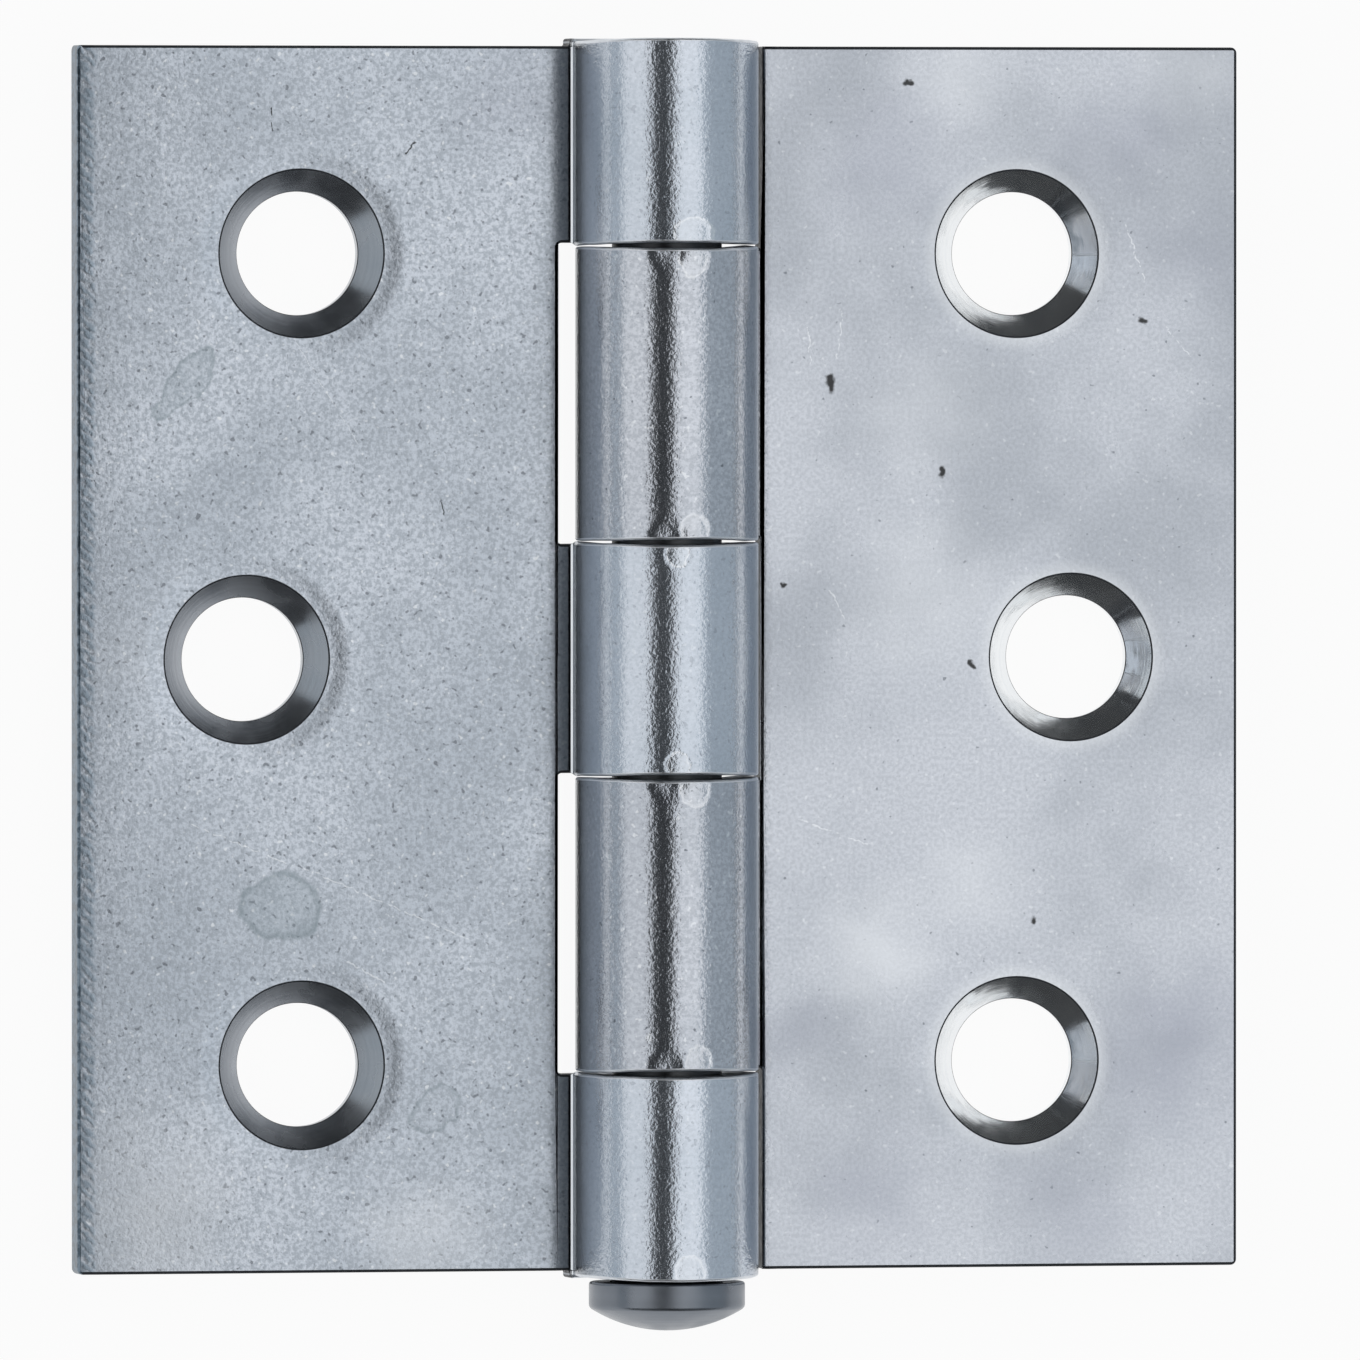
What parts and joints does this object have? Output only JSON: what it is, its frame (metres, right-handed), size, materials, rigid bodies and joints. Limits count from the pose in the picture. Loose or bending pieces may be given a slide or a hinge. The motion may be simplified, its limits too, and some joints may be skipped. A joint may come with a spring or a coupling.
{
  "type": "loose pin hinge",
  "caption": "Open steel butt hinge with cranked leaves, rolled interleaving knuckles, staggered countersunk screw holes and a loose button-head pin that pulls out.",
  "frame": {"origin": "on the bench plane that the barrel rests on, under the pin's axis, in the middle of the overall length (barrel and pin head together)", "axes": "+X across the leaves from the three-knuckle leaf to the two-knuckle leaf, +Y along the barrel away from the pin's head, +Z out of the countersunk faces"},
  "size_m": [0.0616, 0.067, 0.0095],
  "materials": {
    "left_leaf_steel": "bare cold-rolled sheet, satin and finely speckled",
    "right_leaf_steel": "bare cold-rolled sheet, satin and slightly cloudy",
    "pin_steel": "bright drawn wire with an upset head"
  },
  "bodies": {
    "fixed leaf": {"three_knuckle_leaf": "left_leaf_steel"},
    "swinging leaf": {"two_knuckle_leaf": "right_leaf_steel"},
    "pin": {"loose_pin": "pin_steel"}
  },
  "joints": [
    {"name": "leaf_swing", "type": "hinge", "parent": "fixed leaf", "child": "swinging leaf", "pos_m": [0, 0.00134, 0.00475], "axis": [0, -1, 0], "range_deg": [-114, 184]},
    {"name": "pin_pull", "type": "slide", "parent": "fixed leaf", "child": "pin", "axis": [0, -1, 0], "range_m": [0, 0.066]}
  ]
}
